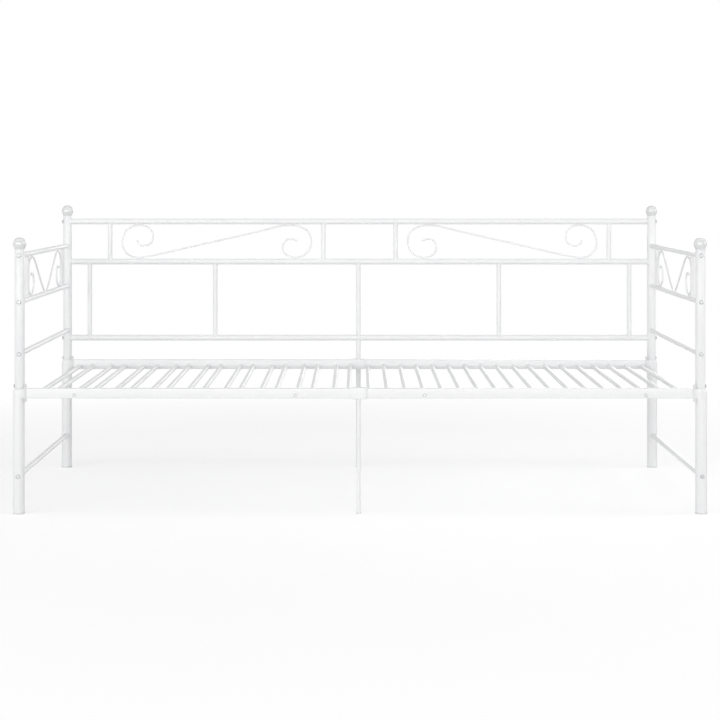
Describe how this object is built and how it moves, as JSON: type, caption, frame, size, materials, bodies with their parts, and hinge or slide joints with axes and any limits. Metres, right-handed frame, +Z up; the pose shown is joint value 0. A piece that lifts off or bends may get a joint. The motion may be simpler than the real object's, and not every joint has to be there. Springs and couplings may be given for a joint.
{
  "type": "daybed",
  "caption": "Steel-tube daybed with railed back and ends, bent-rod scrolls, ball finials and a slatted base.",
  "frame": {"origin": "on the floor, under the middle of the box that holds the bed", "axes": "+X along the length, +Y towards the railed back, +Z up"},
  "size_m": [2.0848, 0.9746, 0.9175],
  "materials": {
    "white_paint": "white powder coat, satin",
    "finial_plastic": "glossy white moulding",
    "foot_plastic": "off-white moulding",
    "zinc": "zinc-plated bolts and nuts"
  },
  "bodies": {
    "root": {"back_centre_upright_lower": "white_paint", "back_centre_upright_upper": "white_paint", "back_long_spindle_1": "white_paint", "back_long_spindle_2": "white_paint", "back_long_spindle_3": "white_paint", "back_long_spindle_4": "white_paint", "back_lower_rail": "white_paint", "back_middle_rail": "white_paint", "back_scroll_left": "white_paint", "back_scroll_right": "white_paint", "back_short_spindle_1": "white_paint", "back_short_spindle_2": "white_paint", "back_short_spindle_3": "white_paint", "back_short_spindle_4": "white_paint", "back_top_rail": "white_paint", "bed_rail_back_left": "white_paint", "bed_rail_back_right": "white_paint", "bed_rail_front_left": "white_paint", "bed_rail_front_right": "white_paint", "centre_leg_back": "white_paint", "centre_leg_cap_back": "foot_plastic", "centre_leg_cap_front": "foot_plastic", "centre_leg_front": "white_paint", "centre_sleeve_back": "white_paint", "centre_sleeve_front": "white_paint", "end_lower_rail_left": "white_paint", "end_lower_rail_right": "white_paint", "end_middle_rail_left": "white_paint", "end_middle_rail_right": "white_paint", "end_scroll_left_back": "white_paint", "end_scroll_left_front": "white_paint", "end_scroll_right_back": "white_paint", "end_scroll_right_front": "white_paint", "end_stretcher_left": "white_paint", "end_stretcher_right": "white_paint", "end_top_rail_left": "white_paint", "end_top_rail_right": "white_paint", "end_upright_left_back": "white_paint", "end_upright_left_front": "white_paint", "end_upright_right_back": "white_paint", "end_upright_right_front": "white_paint", "finial_back_left": "finial_plastic", "finial_back_right": "finial_plastic", "finial_front_left": "finial_plastic", "finial_front_right": "finial_plastic", "foot_cap_back_left": "foot_plastic", "foot_cap_back_right": "foot_plastic", "foot_cap_front_left": "foot_plastic", "foot_cap_front_right": "foot_plastic", "leg_back_left": "white_paint", "leg_back_right": "white_paint", "leg_front_left": "white_paint", "leg_front_right": "white_paint", "post_back_left": "white_paint", "post_back_right": "white_paint", "post_front_left": "white_paint", "post_front_right": "white_paint", "slat_grid_left": "white_paint", "slat_grid_right": "white_paint"}
  },
  "joints": []
}
